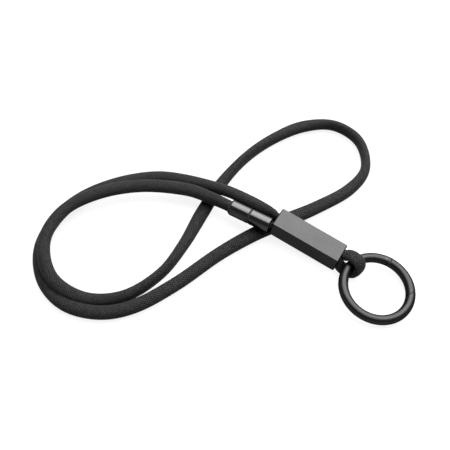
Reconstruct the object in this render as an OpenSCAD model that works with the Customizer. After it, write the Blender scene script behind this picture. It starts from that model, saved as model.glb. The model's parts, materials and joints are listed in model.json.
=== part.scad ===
// Cord neck lanyard: sleeve block, pull-apart coupling and spring-gate ring,
// lying flat as it comes to rest. Millimetres, +Z up, floor at z = 0.

/* [Block] */
// Length of the sleeve block
block_l = 38.4; // [36:0.2:40]
// Width of the sleeve block
block_w = 11.2; // [11.2:0.2:12.4]
// Height of the sleeve block
block_h = 10.2; // [10.2:0.2:11]
// Wall of the sleeve block
block_wall = 0.7; // [0.6:0.1:0.8]
// Size of the bevel round the block's ends
block_bevel = 0.5; // [0.2:0.1:0.6]

/* [Coupling] */
// Outer diameter of the two barrels
barrel_d = 8.6; // [8.2:0.1:8.6]
// Gap between the two barrels
barrel_gap = 0.5; // [0.4:0.1:0.8]
// Diameter of the plug's spigot
spigot_d = 5.2; // [4.6:0.1:5.6]
// Length of the plug's spigot
spigot_l = 3.4; // [2.6:0.2:3.4]

/* [Ring] */
// Radius of the ring at the middle of its wire
ring_r = 17.2; // [17:0.1:17.6]
// Diameter of the ring's wire
wire_d = 5; // [4.6:0.1:5]
// Angle round the ring of the gate's hinge
hinge_a = 100; // [96:1:104]
// Angle round the ring of the gate's free end
nose_a = 22; // [20:1:28]
// Diameter of the hinge pin
pin_d = 1.6; // [1.2:0.1:1.8]

/* [Hidden] */
e = 0.01;

// Colours
metal = [0.17, 0.17, 0.18];
ring_black = [0.08, 0.08, 0.09];
cord_black = [0.10, 0.10, 0.11];
trim_black = [0.04, 0.04, 0.04];
steel = [0.62, 0.62, 0.64];

// The block leans on the cord that crosses under its left end.
block_at = [-14.6, 6.6, 7.9];
block_lean = 8.5;
cavity_w = block_w - 2 * block_wall;
cavity_h = block_h - 2 * block_wall;
trim_l = 3.6;
trim_inset = 0.2;

// Where the cords run through the block
leg_y = 9.2;        // the loop's free leg
leg_z = 10.2;
leg_half = [1.95, 3.3];
run_fit = 0.07;     // clearance round the sliding leg
fold_half = [2, 3.3];
far_y = 2.65;       // the fold's two legs, from the block's middle
near_y = -2.65;
fold_z = 0.6;
far_end = 5;        // where the fold's far leg is clamped off
band_along = [0.22, 0.98, 0];   // the fold's wide way lies along the ring's wire

// Clamp bar and its two grub screws, under the cords
bar = [15, 9.2, 1.4];
bar_top = -2.9;
screw_x = 4.6;
screw_d = 3;
screw_l = 1.6;

// Coupling, level and along X
barrel_y = 2.7;
barrel_z = 10.4;
seam_x = -46.6;
plug_end = -58.5;
socket_end = -34.6;
cord_end_d = 6.2;
stub_d = 3.4;        // the short cord's crimped end
stub_y = 3.45;
ferrule_wall = 0.45;
ferrule_l = 4.6;
lip = 0.2;
socket_depth = 3.8;
plug_magnet_d = 3.8;
socket_magnet_d = 5;
magnet_l = 1.6;

// Ring, lifted on one side by the fold
ring_at = [27.6, -0.1, 4.9];
ring_tilt = 8;
wire_r = wire_d / 2;
knuckle_r = wire_r - 0.05;
nose_reach = 2 * ring_r * sin((hinge_a - nose_a) / 2);
nose_gap = 0.3;
shoulder_gap = 0.35;
tongue_t = 1.7;
tongue_r = 2.15;
slot_t = 1.9;
slot_r = 2.7;
pin_fit = 0.06;
bore_d = 1.9;
bore_l = 7;
plunger_l = 1.8;
spring_wire = 0.28;
spring_turns = 7;

// Route of the loop's cord, from inside the block round to the plug:
// place, then the cord's half width and half height there
LOOP_ROUTE = [
    [-26, 9.2, 10.2, 1.95, 3.3], [-34.1, 9.2, 10.2, 1.95, 3.3],
    [-36.3, 9.45, 10.3, 2.35, 4.1], [-39.6, 10, 10.4, 2.9, 3.7],
    [-43.5, 10.5, 10.4, 3.25, 3.2], [-53, 11, 10.4, 3.4, 2.9],
    [-68, 10.9, 9.7, 3.3, 2.9], [-92, 7.9, 6, 3.8, 2.9],
    [-109, 2.7, 3.2, 3.8, 2.9], [-124, -11, 3, 3.7, 2.9],
    [-134.5, -28, 3, 3.5, 2.9], [-138, -46, 3, 3.4, 2.9],
    [-133.5, -66, 3, 3.4, 2.9], [-119.8, -80.6, 3, 3.5, 2.9],
    [-102, -86.1, 3, 3.65, 2.9], [-84.2, -81.3, 3, 3.7, 2.9],
    [-71, -69, 3, 3.7, 2.9], [-60.5, -48, 3, 3.7, 2.9],
    [-51.6, -23, 3, 3.7, 2.9], [-42.8, -4, 2.9, 4, 2.8],
    [-33.5, 12, 2.5, 4.3, 2.4], [-21, 31, 3, 3.7, 2.9],
    [-11, 51, 3.2, 3.4, 3], [-9.5, 69, 3.9, 2.7, 3.7],
    [-21.2, 85.6, 3.9, 2.6, 3.7], [-39, 89.5, 3.7, 2.7, 3.5],
    [-54.5, 80, 3.1, 3.7, 2.9], [-65, 62, 3.5, 3.1, 3.3],
    [-71.4, 41.5, 3.8, 2.6, 3.7], [-74, 19, 3.2, 3.3, 3],
    [-72.6, -4, 3, 3.8, 2.9], [-70, -27, 3.3, 3.1, 3.1],
    [-70.5, -48, 3.7, 2.6, 3.6], [-79, -67.8, 3.4, 3.1, 3.3],
    [-95.6, -79, 3.3, 3.6, 2.9], [-115, -79, 7.2, 3.5, 2.9],
    [-130.7, -64.5, 9, 3.4, 2.9], [-134.3, -44, 9, 3.4, 2.9],
    [-125.2, -24.8, 9, 3.7, 2.9], [-108.5, -8.2, 7.9, 3.8, 2.9],
    [-86, 1.4, 8.9, 3.8, 2.9], [-70, 2.7, 9.9, 3.4, 3.1],
    [-60.5, 2.7, 10.4, 3.1, 3.1], [-54.2, 2.7, 10.4, 3.1, 3.1]];

// Route of the fold round the ring's wire, from the block's end and back
FOLD_TURN = [
    [6, 8.6, 6.3, 2.5, 3.2], [7.6, 7.3, 9.7, 3.4, 2],
    [10.8, 6.1, 12, 3.4, 1.8], [14.7, 5.1, 10.8, 3.6, 1.8],
    [16, 4.1, 7.3, 3.6, 1.8], [14.5, 3.4, 3.7, 3.5, 1.8],
    [11.2, 3, 2.2, 3.4, 1.7], [7.9, 3.4, 2.4, 3.5, 1.9],
    [5.4, 3.6, 3.6, 3, 2.8]];

// From the block's near leg to the short cord's crimped end in the socket
SHORT_END = [
    [-27, 3.6, 10.1, 1.8, 2.4], [-31, stub_y, barrel_z, stub_d / 2, stub_d / 2],
    [socket_end, stub_y, barrel_z, stub_d / 2, stub_d / 2],
    [socket_end - ferrule_l, stub_y, barrel_z, stub_d / 2, stub_d / 2]];

// A point of the block, from its own middle to the part's frame
function on_block(x, y, z) = block_at + [
    x * cos(block_lean) + z * sin(block_lean), y,
    z * cos(block_lean) - x * sin(block_lean)];
function fold_leg(x, y) = concat(on_block(x, y, fold_z), fold_half);
FOLD_ROUTE = concat(
    [fold_leg(far_end, far_y), fold_leg(12, far_y), fold_leg(block_l / 2 - 0.4, far_y)],
    FOLD_TURN,
    [fold_leg(block_l / 2 - 0.4, near_y), fold_leg(12, near_y), fold_leg(-4, near_y)],
    SHORT_END);

// Smooth curve through a route's points, with a few steps between each two
function curve_point(a, b, c, d, t) =
    0.5 * (2 * b + (c - a) * t + (2 * a - 5 * b + 4 * c - d) * t * t
           + (3 * b - a - 3 * c + d) * t * t * t);
function smooth(route, steps) = let (last = len(route) - 1) concat(
    [for (i = [0 : last - 1], s = [0 : steps - 1])
        curve_point(route[max(i - 1, 0)], route[i], route[i + 1],
                    route[min(i + 2, last)], s / steps)],
    [route[last]]);
function place(p) = [p[0], p[1], p[2]];
function unit(v) = v / norm(v);

// Oval tube along a route; side is the section's wide way at each ring
module oval_tube(route, steps, across, sides = 10) {
    rings = smooth(route, steps);
    last = len(rings) - 1;
    points = [for (i = [0 : last])
        let (
            ahead = unit(place(rings[min(i + 1, last)]) - place(rings[max(i - 1, 0)])),
            side = across == "level"
                ? unit(cross([0, 0, 1], ahead))
                : unit(band_along - ahead * (ahead * band_along)),
            up = cross(ahead, side))
        for (k = [0 : sides - 1])
            place(rings[i]) + side * rings[i][3] * cos(k * 360 / sides)
                            + up * rings[i][4] * sin(k * 360 / sides)];
    walls = [for (i = [0 : last - 1], k = [0 : sides - 1])
        let (a = i * sides + k, b = i * sides + (k + 1) % sides)
        [a, a + sides, b + sides, b]];
    start = [for (k = [0 : sides - 1]) k];
    end = [for (k = [sides - 1 : -1 : 0]) last * sides + k];
    polyhedron(points, concat([start], walls, [end]));
}

// Slot with round ends, its long way up, extruded along X
module leg_hole(half, length) {
    rotate([90, 0, 90]) linear_extrude(length, center = true) {
        square([2 * half[0], 2 * (half[1] - half[0])], center = true);
        for (s = [-1, 1]) translate([0, s * (half[1] - half[0])])
            circle(half[0], $fn = 48);
    }
}

module in_block() { translate(block_at) rotate([0, block_lean, 0]) children(); }
module in_ring() { translate(ring_at) rotate([0, ring_tilt, 0]) children(); }
module at_pivot() { rotate([0, 0, hinge_a]) translate([ring_r, 0, 0]) children(); }
module along_x(x, y = barrel_y) { translate([x, y, barrel_z]) rotate([0, 90, 0]) children(); }

// Solid bar with bevels round both ends
module bevelled_bar(size, bevel) {
    difference() {
        cube(size, center = true);
        for (s = [-1, 1], q = [-1, 1]) {
            translate([s * size[0] / 2, q * size[1] / 2, 0]) rotate([0, 0, 45])
                cube([bevel * sqrt(2), bevel * sqrt(2), size[2] + 2], center = true);
            translate([s * size[0] / 2, 0, q * size[2] / 2]) rotate([0, 45, 0])
                cube([bevel * sqrt(2), size[1] + 2, bevel * sqrt(2)], center = true);
        }
    }
}

module sleeve_block() {
    color(metal) in_block() difference() {
        bevelled_bar([block_l, block_w, block_h], block_bevel);
        cube([block_l + 1, cavity_w, cavity_h], center = true);
        for (s = [-1, 1]) translate([s * screw_x, 0, -block_h / 2])
            cylinder(d = screw_d, h = 4, center = true, $fn = 48);
    }
}

// Block that fills one end of the cavity round the cords
module end_plug(side) {
    in_block() translate([side * (block_l / 2 - trim_inset - trim_l / 2), 0, 0])
        cube([trim_l, cavity_w, cavity_h], center = true);
}

module left_end_trim() {
    color(trim_black) difference() {
        end_plug(-1);
        translate([-32, leg_y, leg_z])
            leg_hole([leg_half[0] + run_fit, leg_half[1] + run_fit], 12);
        along_x(-36, stub_y) cylinder(d = stub_d + 0.1, h = 8, $fn = 48);
    }
}

module right_end_trim() {
    color(trim_black) difference() {
        end_plug(1);
        in_block() for (y = [far_y, near_y]) translate([block_l / 2, y, fold_z])
            leg_hole([fold_half[0] + e, fold_half[1] + e], 3 * trim_l);
    }
}

module clamp_bar() {
    color(steel) in_block() difference() {
        translate([0, 0, bar_top - bar[2] / 2]) cube(bar, center = true);
        for (s = [-1, 1]) translate([s * screw_x, 0, -block_h / 2])
            cylinder(d = screw_d, h = screw_l, $fn = 48);
    }
}

// Grub screw with a hexagon socket, flush with the block's underside
module grub_screw() {
    translate([0, 0, -block_h / 2]) difference() {
        cylinder(d = screw_d, h = screw_l, $fn = 48);
        translate([0, 0, -1]) cylinder(d = 1.7, h = 1.9, $fn = 6);
    }
}

module left_clamp_screw() { color(steel) in_block() translate([-screw_x, 0, 0]) grub_screw(); }
module right_clamp_screw() { color(steel) in_block() translate([screw_x, 0, 0]) grub_screw(); }

module cord_fold() { color(cord_black) oval_tube(FOLD_ROUTE, 3, "upright", 16); }

// Barrel with a bevelled rim at each end, turned round X
module barrel(x, length, left_bevel, right_bevel) {
    r = barrel_d / 2;
    along_x(x) rotate_extrude($fn = 96)
        polygon([[0, 0], [r - left_bevel, 0], [r, 2 * left_bevel],
                 [r, length - right_bevel], [r - right_bevel, length], [0, length]]);
}

module socket_barrel() {
    left = seam_x + barrel_gap / 2;
    color(metal) difference() {
        barrel(left, socket_end - left, 0.2, 0.25);
        along_x(left - 1) cylinder(d = spigot_d + 0.2, h = socket_depth + 1, $fn = 64);
        along_x(left) cylinder(d = socket_magnet_d, h = socket_depth + magnet_l, $fn = 64);
        along_x(socket_end - ferrule_l, stub_y)
            cylinder(d = stub_d + 2 * ferrule_wall, h = ferrule_l + 1, $fn = 64);
    }
}

// Crimped sleeve round the cord's end
module ferrule(x, y, inner_d, length) {
    along_x(x, y) difference() {
        cylinder(d = inner_d + 2 * ferrule_wall, h = length, $fn = 64);
        translate([0, 0, -1]) cylinder(d = inner_d, h = length + 2, $fn = 64);
    }
}

module socket_ferrule() {
    color(trim_black) ferrule(socket_end - ferrule_l, stub_y, stub_d, ferrule_l + lip);
}

module socket_magnet() {
    color(steel) along_x(seam_x + barrel_gap / 2 + socket_depth)
        cylinder(d = socket_magnet_d, h = magnet_l, $fn = 64);
}

module cord_loop() { color(cord_black) oval_tube(LOOP_ROUTE, 2, "level"); }

module plug_barrel() {
    right = seam_x - barrel_gap / 2;
    color(metal) difference() {
        union() {
            barrel(plug_end, right - plug_end, 0.5, 0.2);
            along_x(right - e) cylinder(d = spigot_d, h = spigot_l + e, $fn = 64);
        }
        along_x(plug_end - 1)
            cylinder(d = cord_end_d + 0.1 + 2 * ferrule_wall, h = ferrule_l + 1, $fn = 64);
        along_x(right + spigot_l - magnet_l)
            cylinder(d = plug_magnet_d, h = magnet_l + 1, $fn = 64);
    }
}

module plug_ferrule() {
    color(trim_black) ferrule(plug_end - lip, barrel_y, cord_end_d + 0.1, ferrule_l + lip);
}

module plug_magnet() {
    color(steel) along_x(seam_x - barrel_gap / 2 + spigot_l - magnet_l)
        cylinder(d = plug_magnet_d, h = magnet_l, $fn = 64);
}

module seam_ring() {
    r = barrel_gap / 2 - 0.05;
    color(trim_black) along_x(seam_x) rotate_extrude($fn = 96)
        translate([spigot_d / 2 + 0.05 + 1, 0]) union() {
            circle(r, $fn = 24);
            translate([-1 - 0.04, -r]) square([1.04, 2 * r]);
        }
}

// Stretch of the ring's wire between two angles
module wire(from, to) {
    rotate([0, 0, from]) rotate_extrude(angle = to - from, $fn = 128)
        translate([ring_r, 0]) circle(wire_r, $fn = 48);
}

// What the gate's swing leaves out of the ring, with the rounded knuckle kept
module gate_space() {
    difference() {
        intersection() {
            at_pivot() cylinder(r = nose_reach + nose_gap / 2, h = 12, center = true, $fn = 180);
            linear_extrude(12, center = true) polygon([[0, 0],
                for (a = [-20, 40, hinge_a]) [2 * ring_r * cos(a), 2 * ring_r * sin(a)]]);
        }
        at_pivot() cylinder(r = knuckle_r, h = 14, center = true, $fn = 96);
    }
}

module ring_body() {
    color(ring_black) in_ring() difference() {
        wire(0, 360);
        gate_space();
        at_pivot() cylinder(r = slot_r, h = slot_t, center = true, $fn = 96);
        at_pivot() cylinder(d = pin_d, h = 12, center = true, $fn = 48);
        plunger_bore() cylinder(d = bore_d, h = bore_l, $fn = 48);
    }
}

// Straight bore in the wire behind the hinge; its mouth opens in the slot
module plunger_bore() {
    half_turn = asin(bore_l / 2 / ring_r);
    rotate([0, 0, hinge_a + 7 + half_turn]) translate([ring_r * cos(half_turn), -bore_l / 2, 0])
        rotate([-90, 0, 0]) children();
}

module ring_gate() {
    color(ring_black) in_ring() difference() {
        union() {
            difference() {
                intersection() {
                    wire(nose_a - 12, hinge_a);
                    at_pivot() cylinder(r = nose_reach - nose_gap / 2, h = 12, center = true, $fn = 180);
                }
                at_pivot() cylinder(r = wire_r + shoulder_gap, h = 12, center = true, $fn = 96);
            }
            at_pivot() cylinder(r = tongue_r, h = tongue_t, center = true, $fn = 96);
            intersection() {
                wire(hinge_a - 16, hinge_a);
                at_pivot() translate([0, -2.5, 0]) cube([3.4, 5, tongue_t], center = true);
            }
        }
        at_pivot() cylinder(d = pin_d + 2 * pin_fit, h = 12, center = true, $fn = 48);
    }
}

module hinge_pin() {
    color(steel) in_ring() at_pivot() cylinder(d = pin_d, h = 2 * wire_r - 0.3, center = true, $fn = 48);
}

module gate_plunger() {
    color(steel) in_ring() plunger_bore() translate([0, 0, 0.3])
        cylinder(d = bore_d - 0.1, h = plunger_l, $fn = 48);
}

// Coil of the gate's spring, behind the plunger
module gate_spring() {
    coil_r = bore_d / 2 - spring_wire / 2 - 0.1;
    pitch = (bore_l - plunger_l - 1) / spring_turns;
    per_turn = 12;
    around = 6;
    last = spring_turns * per_turn;
    points = [for (i = [0 : last], k = [0 : around - 1])
        let (a = i * 360 / per_turn, r = coil_r + spring_wire / 2 * cos(k * 360 / around))
        [r * cos(a), r * sin(a),
         i * pitch / per_turn + spring_wire / 2 * sin(k * 360 / around)]];
    walls = [for (i = [0 : last - 1], k = [0 : around - 1])
        let (a = i * around + k, b = i * around + (k + 1) % around)
        [a, b, b + around, a + around]];
    start = [for (k = [around - 1 : -1 : 0]) k];
    end = [for (k = [0 : around - 1]) last * around + k];
    color(steel) in_ring() plunger_bore() translate([0, 0, plunger_l + 0.5])
        polyhedron(points, concat([start], walls, [end]));
}

sleeve_block();
left_end_trim();
right_end_trim();
clamp_bar();
left_clamp_screw();
right_clamp_screw();
cord_fold();
socket_barrel();
socket_ferrule();
socket_magnet();
cord_loop();
plug_barrel();
plug_ferrule();
plug_magnet();
seam_ring();
ring_body();
ring_gate();
hinge_pin();
gate_plunger();
gate_spring();
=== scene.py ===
import json
import math

import bpy
import numpy as np
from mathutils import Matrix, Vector


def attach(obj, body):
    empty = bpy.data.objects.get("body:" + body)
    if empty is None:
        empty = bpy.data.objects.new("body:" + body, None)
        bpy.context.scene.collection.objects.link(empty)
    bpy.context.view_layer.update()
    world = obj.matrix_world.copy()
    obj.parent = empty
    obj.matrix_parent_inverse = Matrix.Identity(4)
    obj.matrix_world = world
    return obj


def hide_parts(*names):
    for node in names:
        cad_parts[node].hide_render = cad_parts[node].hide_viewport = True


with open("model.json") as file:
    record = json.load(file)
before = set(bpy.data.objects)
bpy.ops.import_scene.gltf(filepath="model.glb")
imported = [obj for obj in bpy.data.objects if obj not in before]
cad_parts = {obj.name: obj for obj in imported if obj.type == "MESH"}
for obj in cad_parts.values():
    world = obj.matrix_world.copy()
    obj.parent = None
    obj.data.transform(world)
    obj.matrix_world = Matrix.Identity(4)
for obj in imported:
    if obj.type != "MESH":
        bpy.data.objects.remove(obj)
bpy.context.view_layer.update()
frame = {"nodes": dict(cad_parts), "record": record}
MM = 0.001

# ---------------------------------------------------------------- camera

CAMERA_AT = Vector((51.6, -188.9, 309.2)) * MM
CAMERA_AIM = Vector((-59.0, -2.8, 0.0)) * MM
LENS_MM = 56
SENSOR_MM = 36


def make_camera():
    data = bpy.data.cameras.new("camera")
    data.lens = LENS_MM
    data.sensor_width = SENSOR_MM
    data.clip_start = 0.01
    camera = bpy.data.objects.new("camera", data)
    bpy.context.collection.objects.link(camera)
    camera.location = CAMERA_AT
    camera.rotation_euler = (CAMERA_AIM - CAMERA_AT).to_track_quat("-Z", "Y").to_euler()
    bpy.context.scene.camera = camera


make_camera()

# ---------------------------------------------------------------- routes

# The loop's cord, from inside the block round to the plug:
# place, then half width and half height, in millimetres as in part.scad.
LOOP_ROUTE = [
    (-26, 9.2, 10.2, 1.95, 3.3), (-34.1, 9.2, 10.2, 1.95, 3.3),
    (-36.3, 9.45, 10.3, 2.35, 4.1), (-39.6, 10, 10.4, 2.9, 3.7),
    (-43.5, 10.5, 10.4, 3.25, 3.2), (-53, 11, 10.4, 3.4, 2.9),
    (-68, 10.9, 9.7, 3.3, 2.9), (-92, 7.9, 6, 3.8, 2.9),
    (-109, 2.7, 3.2, 3.8, 2.9), (-124, -11, 3, 3.7, 2.9),
    (-134.5, -28, 3, 3.5, 2.9), (-138, -46, 3, 3.4, 2.9),
    (-133.5, -66, 3, 3.4, 2.9), (-119.8, -80.6, 3, 3.5, 2.9),
    (-102, -86.1, 3, 3.65, 2.9), (-84.2, -81.3, 3, 3.7, 2.9),
    (-71, -69, 3, 3.7, 2.9), (-60.5, -48, 3, 3.7, 2.9),
    (-51.6, -23, 3, 3.7, 2.9), (-42.8, -4, 2.9, 4, 2.8),
    (-33.5, 12, 2.5, 4.3, 2.4), (-21, 31, 3, 3.7, 2.9),
    (-11, 51, 3.2, 3.4, 3), (-9.5, 69, 3.9, 2.7, 3.7),
    (-21.2, 85.6, 3.9, 2.6, 3.7), (-39, 89.5, 3.7, 2.7, 3.5),
    (-54.5, 80, 3.1, 3.7, 2.9), (-65, 62, 3.5, 3.1, 3.3),
    (-71.4, 41.5, 3.8, 2.6, 3.7), (-74, 19, 3.2, 3.3, 3),
    (-72.6, -4, 3, 3.8, 2.9), (-70, -27, 3.3, 3.1, 3.1),
    (-70.5, -48, 3.7, 2.6, 3.6), (-79, -67.8, 3.4, 3.1, 3.3),
    (-95.6, -79, 3.3, 3.6, 2.9), (-115, -79, 7.2, 3.5, 2.9),
    (-130.7, -64.5, 9, 3.4, 2.9), (-134.3, -44, 9, 3.4, 2.9),
    (-125.2, -24.8, 9, 3.7, 2.9), (-108.5, -8.2, 7.9, 3.8, 2.9),
    (-86, 1.4, 8.9, 3.8, 2.9), (-70, 2.7, 9.9, 3.4, 3.1),
    (-60.5, 2.7, 10.4, 3.1, 3.1), (-54.2, 2.7, 10.4, 3.1, 3.1)]

# The fold round the ring's wire. Its straight legs run in the leaning block.
FOLD_TURN = [
    (6, 8.6, 6.3, 2.5, 3.2), (7.6, 7.3, 9.7, 3.4, 2),
    (10.8, 6.1, 12, 3.4, 1.8), (14.7, 5.1, 10.8, 3.6, 1.8),
    (16, 4.1, 7.3, 3.6, 1.8), (14.5, 3.4, 3.7, 3.5, 1.8),
    (11.2, 3, 2.2, 3.4, 1.7), (7.9, 3.4, 2.4, 3.5, 1.9),
    (5.4, 3.6, 3.6, 3, 2.8)]
BLOCK_AT = (-14.6, 6.6, 7.9)
BLOCK_LEAN = math.radians(8.5)
BLOCK_LENGTH = 38.4
FOLD_HALF = (2, 3.3)             # half width and half height in the block
FAR_Y, NEAR_Y, FOLD_Z = 2.65, -2.65, 0.6
FAR_END, NEAR_END = 5, -4        # where the straight legs end inside the block
LEG_MIDDLE = 12

# From the block's near leg to the short cord's crimped end in the socket
SHORT_END = [
    (-27, 3.6, 10.1, 1.8, 2.4), (-31, 3.45, 10.4, 1.7, 1.7),
    (-34.6, 3.45, 10.4, 1.7, 1.7), (-39.2, 3.45, 10.4, 1.7, 1.7)]
BAND_ALONG = (0.22, 0.98, 0)     # the fold's wide way lies along the ring's wire


def fold_leg(x, y):
    """A row of a fold's leg, x along the leaning block from its middle."""
    c, s = math.cos(BLOCK_LEAN), math.sin(BLOCK_LEAN)
    return (BLOCK_AT[0] + x * c + FOLD_Z * s, BLOCK_AT[1] + y,
            BLOCK_AT[2] + FOLD_Z * c - x * s, *FOLD_HALF)


FOLD_MOUTH = BLOCK_LENGTH / 2 - 0.4
FOLD_ROUTE = ([fold_leg(x, FAR_Y) for x in (FAR_END, LEG_MIDDLE, FOLD_MOUTH)]
              + FOLD_TURN
              + [fold_leg(x, NEAR_Y) for x in (FOLD_MOUTH, LEG_MIDDLE, NEAR_END)]
              + SHORT_END)
SMOOTH_STEPS = 60                # steps of the smooth curve between two rows


def smooth_route(route, steps):
    """Catmull-Rom curve through the route's rows, steps to each stretch."""
    p = np.array(route, float)
    last = len(p) - 1
    rows = []
    for i in range(last):
        a, b, c, d = p[max(i - 1, 0)], p[i], p[i + 1], p[min(i + 2, last)]
        for t in np.arange(steps) / steps:
            rows.append(0.5 * (2 * b + (c - a) * t + (2 * a - 5 * b + 4 * c - d) * t ** 2
                               + (3 * b - a - 3 * c + d) * t ** 3))
    rows.append(p[last])
    return np.array(rows)


def even_route(route, spacing):
    """The smoothed route at even steps along its length, and that length."""
    rows = smooth_route(route, SMOOTH_STEPS)
    run = np.r_[0, np.cumsum(np.linalg.norm(np.diff(rows[:, :3], axis=0), axis=1))]
    count = max(2, int(round(run[-1] / spacing)))
    at = np.linspace(0, run[-1], count + 1)
    even = np.column_stack([np.interp(at, run, rows[:, k]) for k in range(rows.shape[1])])
    return even, run[-1]


# ---------------------------------------------------------------- cord meshes

CORD_AROUND = 64         # points in each ring of the mesh
LOOP_SPACING = 0.55      # mm between the loop's rings
FOLD_SPACING = 0.35      # mm between the fold's rings
PATH_EVERY = 4
HALF_WIDE, HALF_HIGH = 3.6, 2.8
ROUND_MM = math.pi * 2 * math.sqrt((HALF_WIDE ** 2 + HALF_HIGH ** 2) / 2)
BRAID_AROUND = 16        # diamonds of the braid round the cord
BRAID_PITCH = 1.7        # length of one diamond along the cord, in mm
BRAID_RELIEF = 0.08      # how far the yarns stand up, in mm
YARN_ROUNDING = 0.7      # below 1 the yarns are fuller than a sine wave
END_FADE = 3             # mm over which the braid fades into the holes at the ends
FULLNESS = 0.3           # how much squarer a flattened stretch is than an ellipse


def unit_rows(v):
    return v / np.linalg.norm(v, axis=1)[:, None]


def cord_mesh(name, route, spacing, wide_along=None):
    """Oval braided cord along a route: a mesh with the braid's crossings standing up,
    and a map of millimetres along it and round it for the finer yarns."""
    rings, length = even_route(route, spacing)
    centre = rings[:, :3]
    ahead = unit_rows(np.gradient(centre, axis=0))
    if wide_along:
        along_wire = np.array(wide_along)
        side = along_wire - ahead * (ahead @ along_wire)[:, None]
    else:
        side = np.cross([0, 0, 1.0], ahead)
    side = unit_rows(side)
    up = np.cross(ahead, side)
    count = len(rings)
    turn = np.arange(CORD_AROUND) / CORD_AROUND
    along = np.linspace(0, length, count)
    p = along[:, None] / BRAID_PITCH + turn[None, :] * BRAID_AROUND
    q = along[:, None] / BRAID_PITCH - turn[None, :] * BRAID_AROUND
    over = np.sin(math.pi * p) * np.sin(math.pi * q)
    relief = BRAID_RELIEF * (np.abs(over) ** YARN_ROUNDING - 1)
    relief = relief * np.clip(np.minimum(along, length - along) / END_FADE, 0, 1)[:, None]
    a = rings[:, 3:4] + relief
    b = rings[:, 4:5] + relief
    flat = np.maximum(rings[:, 3] / rings[:, 4], rings[:, 4] / rings[:, 3]) - 1
    power = (2 / (2 + FULLNESS * np.clip(flat, 0, 1)))[:, None]
    c, s = np.cos(2 * math.pi * turn)[None, :], np.sin(2 * math.pi * turn)[None, :]
    across = a * np.sign(c) * np.abs(c) ** power
    rise = b * np.sign(s) * np.abs(s) ** power
    points = (centre[:, None, :] + side[:, None, :] * across[:, :, None]
              + up[:, None, :] * rise[:, :, None]) * MM
    first = np.arange(count - 1)[:, None] * CORD_AROUND
    k = np.arange(CORD_AROUND)[None, :]
    n = (k + 1) % CORD_AROUND
    quads = np.stack([first + k, first + n,
                      first + CORD_AROUND + n, first + CORD_AROUND + k], axis=-1).reshape(-1, 4)
    caps = [list(range(CORD_AROUND - 1, -1, -1)),
            [(count - 1) * CORD_AROUND + j for j in range(CORD_AROUND)]]
    mesh = bpy.data.meshes.new(name)
    mesh.from_pydata(points.reshape(-1, 3).tolist(), [], quads.tolist() + caps)
    mesh.polygons.foreach_set("use_smooth", [True] * len(quads) + [False, False])
    here, next_ring = along[:-1, None] + 0 * k, along[1:, None] + 0 * k
    corner_u = np.stack([here, here, next_ring, next_ring], axis=-1)
    corner_v = np.stack([k, k + 1, k + 1, k], axis=-1) / CORD_AROUND + 0 * corner_u
    uv = np.stack([corner_u, corner_v * ROUND_MM], axis=-1).reshape(-1, 2)
    uv = np.vstack([uv, np.zeros((2 * CORD_AROUND, 2))])
    layer = mesh.uv_layers.new(name="weave")
    layer.data.foreach_set("uv", uv.ravel())
    mesh.validate()
    mesh.update()
    piece = bpy.data.objects.new(name, mesh)
    bpy.context.collection.objects.link(piece)
    path = [tuple(row * MM) for row in centre[::PATH_EVERY]] + [tuple(centre[-1] * MM)]
    return piece, path, length


loop, loop_path, loop_length = cord_mesh("neck_cord", LOOP_ROUTE, LOOP_SPACING)
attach(loop, "loop")
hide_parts("cord_loop")

fold = cord_mesh("ring_fold", FOLD_ROUTE, FOLD_SPACING, BAND_ALONG)[0]
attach(fold, "block")
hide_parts("cord_fold")

# ---------------------------------------------------------------- materials

FIBRES_IN_YARN = 3       # fibres side by side in a yarn: a whole wave for each
FINE_GRAIN = 5200        # noise scale of a moulded or blasted surface, per metre
ROUGH_SPREAD = 0.12      # how much rougher a plain surface is where it is worn
SMOOTH_UP_TO = math.radians(32)  # a sharper edge than this is shaded as an edge


def grey(level):
    return (level, level, level)


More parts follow.
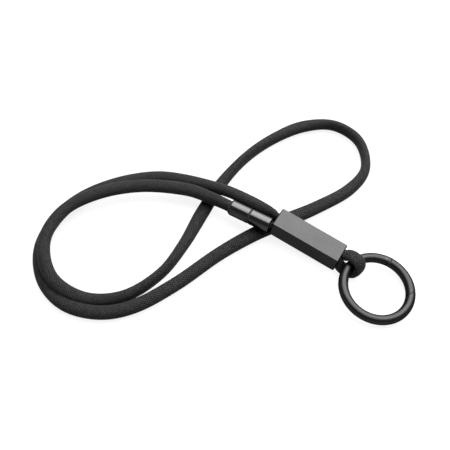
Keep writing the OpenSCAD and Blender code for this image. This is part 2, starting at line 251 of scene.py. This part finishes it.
class Nodes:
    """A new material's node tree, with short ways to add and join nodes."""

    def __init__(self, name):
        self.material = bpy.data.materials.new(name)
        self.material.use_nodes = True
        self.tree = self.material.node_tree
        self.shader = self.tree.nodes["Principled BSDF"]

    def add(self, kind, **settings):
        node = self.tree.nodes.new(kind)
        for key, value in settings.items():
            setattr(node, key, value)
        return node

    def join(self, out, into):
        self.tree.links.new(out, into)

    def maths(self, operation, a, b=None):
        """A Math node's output; a and b are numbers or other nodes' outputs."""
        node = self.add("ShaderNodeMath", operation=operation)
        for socket, value in zip(node.inputs, (a, b)):
            if value is None:
                continue
            if isinstance(value, (int, float)):
                socket.default_value = value
            else:
                self.join(value, socket)
        return node.outputs[0]

    def weighted(self, *pairs):
        """The sum of outputs, each times its weight."""
        value, weight = pairs[0]
        total = self.maths("MULTIPLY", value, weight)
        if len(pairs) > 1:
            total = self.maths("ADD", total, self.weighted(*pairs[1:]))
        return total

    def noise(self, scale, detail=3.0, rough=0.55, stretch=None):
        """Noise in the part's own metres; stretch scales it along X, Y and Z."""
        place = self.add("ShaderNodeTexCoord").outputs["Object"]
        if stretch:
            mapping = self.add("ShaderNodeMapping")
            mapping.inputs["Scale"].default_value = stretch
            self.join(place, mapping.inputs["Vector"])
            place = mapping.outputs["Vector"]
        node = self.add("ShaderNodeTexNoise")
        node.inputs["Scale"].default_value = scale
        node.inputs["Detail"].default_value = detail
        node.inputs["Roughness"].default_value = rough
        self.join(place, node.inputs["Vector"])
        return node.outputs["Fac"]

    def spread(self, value, low, high):
        """value from 0..1 spread over low..high."""
        node = self.add("ShaderNodeMapRange")
        node.inputs["To Min"].default_value = low
        node.inputs["To Max"].default_value = high
        self.join(value, node.inputs["Value"])
        return node.outputs["Result"]

    def colours(self, value, dark, light):
        """Base colour from dark to light as value goes from 0 to 1."""
        node = self.add("ShaderNodeMix", data_type="RGBA")
        self.join(value, node.inputs["Factor"])
        node.inputs[6].default_value = (*dark, 1)      # the colour sockets A, B and Result
        node.inputs[7].default_value = (*light, 1)
        self.join(node.outputs[2], self.shader.inputs["Base Color"])

    def bump(self, height, strength, distance):
        node = self.add("ShaderNodeBump")
        node.inputs["Strength"].default_value = strength
        node.inputs["Distance"].default_value = distance
        self.join(height, node.inputs["Height"])
        self.join(node.outputs["Normal"], self.shader.inputs["Normal"])

    def fixed(self, **values):
        """Sets the shader's own sockets, each named with _ for its spaces."""
        for key, value in values.items():
            self.shader.inputs[key.replace("_", " ")].default_value = value


def cord_material():
    """Fine braided sheath: two sets of yarns that cross, painted shade in the gaps between them,
    a soft sheen, and lint.
    """
    m = Nodes("braided_cord")
    uv = m.add("ShaderNodeUVMap", uv_map="weave").outputs["UV"]
    split = m.add("ShaderNodeSeparateXYZ")
    m.join(uv, split.inputs[0])
    along, around = split.outputs[0], split.outputs[1]
    u = m.maths("MULTIPLY", along, math.pi / BRAID_PITCH)
    v = m.maths("MULTIPLY", around, math.pi * BRAID_AROUND / ROUND_MM)
    plus, minus = m.maths("ADD", u, v), m.maths("SUBTRACT", u, v)
    over = m.maths("MULTIPLY", m.maths("SINE", plus), m.maths("SINE", minus))
    crossing = m.maths("ABSOLUTE", over)
    fibres = m.maths("MULTIPLY",
                     m.maths("SINE", m.maths("MULTIPLY", plus, 2.0 * FIBRES_IN_YARN)),
                     m.maths("SINE", m.maths("MULTIPLY", minus, 2.0)))
    lint = m.noise(2600, 4.0, 0.6)
    m.bump(m.weighted((crossing, 0.7), (fibres, 0.16), (lint, 0.35)), 0.75, 0.00022)
    # painted shade: the gaps between the yarns and between their fibres are coloured darker than
    # the yarns' tops, with flecks of random tone over both
    flecks = m.noise(800, 3.0)
    gap_shade_and_flecks = m.weighted((crossing, 1.4), (fibres, 0.8), (flecks, 2.0))
    m.colours(m.maths("SUBTRACT", gap_shade_and_flecks, 1.3), grey(0.0003), grey(0.0205))
    m.join(m.spread(lint, 0.62, 0.85), m.shader.inputs["Roughness"])
    m.fixed(Sheen_Weight=0.04, Sheen_Roughness=0.3, Specular_IOR_Level=0.07)
    return m.material


def anodised(name, dark, light, rough_low, rough_high, grain, stretch=None, strength=0.12):
    """A nearly even surface: fine grain, and faint wear in tone and in gloss."""
    m = Nodes(name)
    fine = m.noise(grain, 4.0, 0.6, stretch)
    cloud = m.noise(90, 3.0, 0.5)
    m.colours(m.weighted((fine, 0.55), (cloud, 0.45)), dark, light)
    m.join(m.spread(cloud, rough_low, rough_high), m.shader.inputs["Roughness"])
    m.bump(fine, strength, 0.00004)
    return m


def block_material():
    """Lightly brushed along the block."""
    m = anodised("block_anodised", grey(0.013), grey(0.030), 0.30, 0.36, 1100,
                 stretch=(0.16, 2.2, 2.2), strength=0.05)
    m.fixed(Metallic=1.0, Specular_Tint=(*grey(0.48), 1))
    return m.material


def barrel_material():
    """Turned round X, so the grain runs round the barrels."""
    m = anodised("barrel_anodised", grey(0.035), grey(0.045), 0.22, 0.27, 1500,
                 stretch=(14, 0.5, 0.5), strength=0.015)
    m.fixed(Metallic=1.0, Specular_Tint=(*grey(0.2), 1))
    return m.material


def ring_material():
    """Satin black over a finely blasted wire."""
    m = anodised("ring_black", grey(0.015), grey(0.024), 0.33, 0.42, FINE_GRAIN, strength=0.10)
    m.fixed(Metallic=1.0, Specular_Tint=(*grey(0.35), 1))
    return m.material


def plain_material(name, dark, light, rough, metallic=0.0):
    m = anodised(name, dark, light, rough, rough + ROUGH_SPREAD, FINE_GRAIN, strength=0.2)
    m.fixed(Metallic=metallic)
    return m.material


BY_SLOT = {
    "cord": cord_material(),
    "block_anodised": block_material(),
    "barrel_anodised": barrel_material(),
    "ring_black": ring_material(),
    "trim": plain_material("matt_trim", grey(0.010), grey(0.018), 0.6),
    "seam": plain_material("seam_rubber", grey(0.008), grey(0.014), 0.6),
    "magnet": plain_material("nickel", (0.50, 0.50, 0.49), (0.62, 0.61, 0.60), 0.2, 1.0),
    "pin": plain_material("blackened_pin", (0.02, 0.02, 0.021), (0.035, 0.035, 0.036), 0.35, 1.0),
    "steel": plain_material("plain_steel", (0.30, 0.30, 0.31), (0.42, 0.42, 0.43), 0.28, 1.0),
}


def paint(piece, slot):
    piece.data.materials.clear()
    piece.data.materials.append(BY_SLOT[slot])


for piece in (loop, fold):
    paint(piece, "cord")

for part in frame["record"]["subparts"]:
    node = frame["nodes"][part["node"]]
    paint(node, part["material_slot"])
    node.data.polygons.foreach_set("use_smooth", [True] * len(node.data.polygons))
    node.data.set_sharp_from_angle(angle=SMOOTH_UP_TO)

# the block's long edges are very slightly broken, and catch a thin line of light
soft_edge = frame["nodes"]["sleeve_block"].modifiers.new("soft_edge", "BEVEL")
soft_edge.width = 0.18 * MM
soft_edge.segments = 2
soft_edge.limit_method = "ANGLE"
soft_edge.angle_limit = math.radians(35)
soft_edge.harden_normals = True

# ---------------------------------------------------------------- floor and light

FLOOR_HALF = 12.0
FLOOR_BELOW = 0.0002     # keeps the floor just clear of what lies on it
HORIZON = 0.93           # the world's strength near the horizon
OVERHEAD = 0.25          # and higher up
FADE_FROM, FADE_TO = 0.12, 0.5   # the height of the view's direction where it fades
LIGHT_AIM = (-0.04, 0, 0)


def make_floor():
    """Pale floor that glows evenly, so the shadows on it stay faint."""
    mesh = bpy.data.meshes.new("floor")
    s = FLOOR_HALF
    mesh.from_pydata([(-s, -s, 0), (s, -s, 0), (s, s, 0), (-s, s, 0)], [], [(0, 1, 2, 3)])
    floor = bpy.data.objects.new("floor", mesh)
    bpy.context.collection.objects.link(floor)
    floor.location.z = -FLOOR_BELOW
    m = Nodes("pale_floor")
    m.fixed(Base_Color=(0.1, 0.1, 0.1, 1), Roughness=0.9, Specular_IOR_Level=0.0,
            Emission_Color=(1, 1, 1, 1), Emission_Strength=0.85)
    mesh.materials.append(m.material)


def softbox(name, at, size, power):
    """A rectangular lamp turned to LIGHT_AIM."""
    data = bpy.data.lights.new(name, "AREA")
    data.shape = "RECTANGLE"
    data.size, data.size_y = size
    data.energy = power
    lamp = bpy.data.objects.new(name, data)
    bpy.context.collection.objects.link(lamp)
    lamp.location = at
    lamp.rotation_euler = (Vector(LIGHT_AIM) - Vector(at)).to_track_quat("-Z", "Y").to_euler()


def make_world():
    """Pale studio, as bright as the floor at the horizon and dimmer overhead."""
    world = bpy.data.worlds.new("studio")
    world.use_nodes = True
    tree = world.node_tree
    back = tree.nodes["Background"]
    back.inputs["Color"].default_value = (1, 1, 1, 1)
    direction = tree.nodes.new("ShaderNodeTexCoord")
    split = tree.nodes.new("ShaderNodeSeparateXYZ")
    fade = tree.nodes.new("ShaderNodeMapRange")
    fade.inputs["From Min"].default_value = FADE_FROM
    fade.inputs["From Max"].default_value = FADE_TO
    fade.inputs["To Min"].default_value = HORIZON
    fade.inputs["To Max"].default_value = OVERHEAD
    tree.links.new(direction.outputs["Generated"], split.inputs[0])
    tree.links.new(split.outputs["Z"], fade.inputs["Value"])
    tree.links.new(fade.outputs["Result"], back.inputs["Strength"])
    bpy.context.scene.world = world


make_floor()
make_world()
softbox("key", (-0.03, 0.29, 1.05), (1.3, 1.0), 44)
softbox("back", (-0.04, 1.05, 0.75), (1.6, 1.0), 48)
bpy.context.scene.view_settings.view_transform = "Standard"
